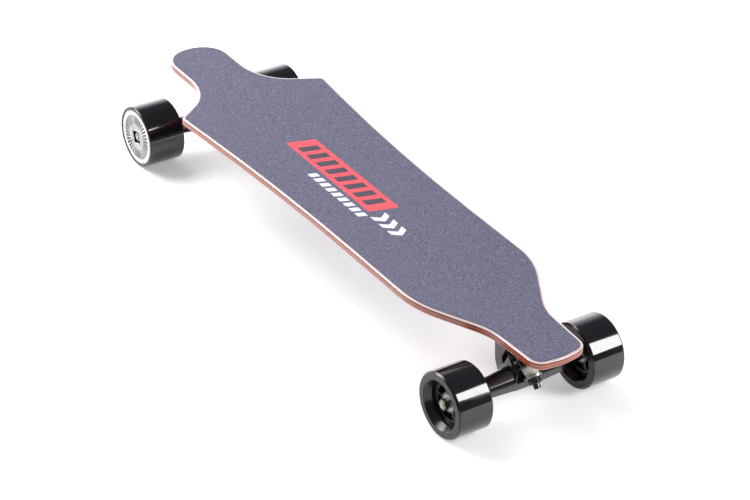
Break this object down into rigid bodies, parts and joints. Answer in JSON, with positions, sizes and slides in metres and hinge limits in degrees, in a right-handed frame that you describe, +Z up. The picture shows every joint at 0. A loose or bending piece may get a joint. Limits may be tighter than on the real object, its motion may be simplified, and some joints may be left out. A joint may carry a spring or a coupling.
{
  "type": "electric skateboard",
  "caption": "Low electric longboard: cut-away concave deck with grip tape, reverse-kingpin trucks, urethane wheels, motors in the rear wheels and a battery tub below.",
  "frame": {"origin": "on the ground under the middle of the board's length and width", "axes": "+X towards the front end, +Y to the left, +Z up"},
  "size_m": [0.919, 0.2624, 0.1279],
  "materials": {
    "maple": "stained red, gloss lacquer on the edge",
    "grip": "coarse abrasive grit",
    "black_metal": "gloss black coat",
    "dark_steel": "blackened steel",
    "steel": "ground steel",
    "zinc": "bright zinc plate",
    "brass": "passivated zinc with a yellow tint",
    "urethane": "cast urethane, glossy",
    "bushing_urethane": "cast urethane, pale",
    "core_plastic": "moulded black",
    "white_cover": "white satin coat",
    "motor_black": "black anodised",
    "magnet": "nickel plated",
    "lamination": "stacked electrical steel",
    "copper": "enamelled copper wire",
    "rubber": "matt",
    "tub_plastic": "vacuum-formed, fine grain",
    "cell_wrap": "shrink sleeve",
    "circuit_board": "solder mask",
    "controller_aluminium": "extruded, bead blasted",
    "button_red": "moulded red"
  },
  "bodies": {
    "board": {"deck": "maple", "grip_tape": "grip", "front_riser_pad": "rubber", "rear_riser_pad": "rubber", "truck_bolts": "dark_steel", "truck_nuts": "zinc", "front_baseplate": "black_metal", "rear_baseplate": "black_metal", "front_pivot_cup": "bushing_urethane", "rear_pivot_cup": "bushing_urethane", "front_kingpin": "dark_steel", "rear_kingpin": "dark_steel", "front_kingpin_nut": "dark_steel", "rear_kingpin_nut": "dark_steel", "front_board_bushing": "bushing_urethane", "rear_board_bushing": "bushing_urethane", "front_road_bushing": "bushing_urethane", "rear_road_bushing": "bushing_urethane", "front_cup_washers": "zinc", "rear_cup_washers": "zinc", "left_motor_cable": "rubber", "right_motor_cable": "rubber", "cable_glands": "core_plastic", "enclosure": "tub_plastic", "enclosure_gasket": "rubber", "enclosure_screws": "dark_steel", "battery_cells": "cell_wrap", "battery_board": "circuit_board", "motor_controller": "controller_aluminium", "charge_socket": "zinc"},
    "front_truck": {"front_hanger": "black_metal", "front_axle": "steel", "front_spacers": "steel", "front_speed_washers": "zinc", "front_axle_nuts": "brass"},
    "rear_truck": {"rear_hanger": "black_metal", "rear_axle": "steel", "rear_axle_nuts": "zinc", "motor_stators": "lamination", "motor_windings": "copper"},
    "front_left_wheel": {"front_left_tyre": "urethane", "front_left_core": "core_plastic", "front_left_bearings": "steel"},
    "rear_left_wheel": {"rear_left_tyre": "urethane", "rear_left_motor_can": "motor_black", "rear_left_motor_cover": "white_cover", "rear_left_cover_screws": "zinc", "rear_left_magnets": "magnet", "rear_left_bearings": "steel"},
    "front_right_wheel": {"front_right_tyre": "urethane", "front_right_core": "core_plastic", "front_right_bearings": "steel"},
    "rear_right_wheel": {"rear_right_tyre": "urethane", "rear_right_motor_can": "motor_black", "rear_right_motor_cover": "white_cover", "rear_right_cover_screws": "zinc", "rear_right_magnets": "magnet", "rear_right_bearings": "steel"},
    "power_button": {"power_button": "button_red"},
    "charge_cap": {"charge_cap": "rubber"}
  },
  "joints": [
    {"name": "front_steer", "type": "hinge", "parent": "board", "child": "front_truck", "pos_m": [0.3895, 0, 0.069], "axis": [0.7071, 0, 0.7071], "range_deg": [-15, 15], "stiffness_Nm_per_rad": 60, "deforming": ["front_board_bushing", "front_road_bushing"]},
    {"name": "rear_steer", "type": "hinge", "parent": "board", "child": "rear_truck", "pos_m": [-0.3845, 0, 0.069], "axis": [-0.7071, 0, 0.7071], "range_deg": [-15, 15], "stiffness_Nm_per_rad": 60, "deforming": ["rear_board_bushing", "rear_road_bushing", "left_motor_cable", "right_motor_cable"]},
    {"name": "front_left_spin", "type": "hinge", "parent": "front_truck", "child": "front_left_wheel", "pos_m": [0.3835, 0.10325, 0.045], "axis": [0, 1, 0], "continuous": true},
    {"name": "front_right_spin", "type": "hinge", "parent": "front_truck", "child": "front_right_wheel", "pos_m": [0.3835, -0.10325, 0.045], "axis": [0, 1, 0], "continuous": true},
    {"name": "rear_left_spin", "type": "hinge", "parent": "rear_truck", "child": "rear_left_wheel", "pos_m": [-0.3785, 0.10325, 0.045], "axis": [0, 1, 0], "continuous": true},
    {"name": "rear_right_spin", "type": "hinge", "parent": "rear_truck", "child": "rear_right_wheel", "pos_m": [-0.3785, -0.10325, 0.045], "axis": [0, 1, 0], "continuous": true},
    {"name": "power_button_press", "type": "slide", "parent": "board", "child": "power_button", "axis": [0, 1, 0], "range_m": [0, 0.0012], "stiffness_N_per_m": 400},
    {"name": "charge_cap_swing", "type": "hinge", "parent": "board", "child": "charge_cap", "pos_m": [-0.18633, -0.0701, 0.1015], "axis": [-1, 0, 0], "range_deg": [0, 85]}
  ]
}
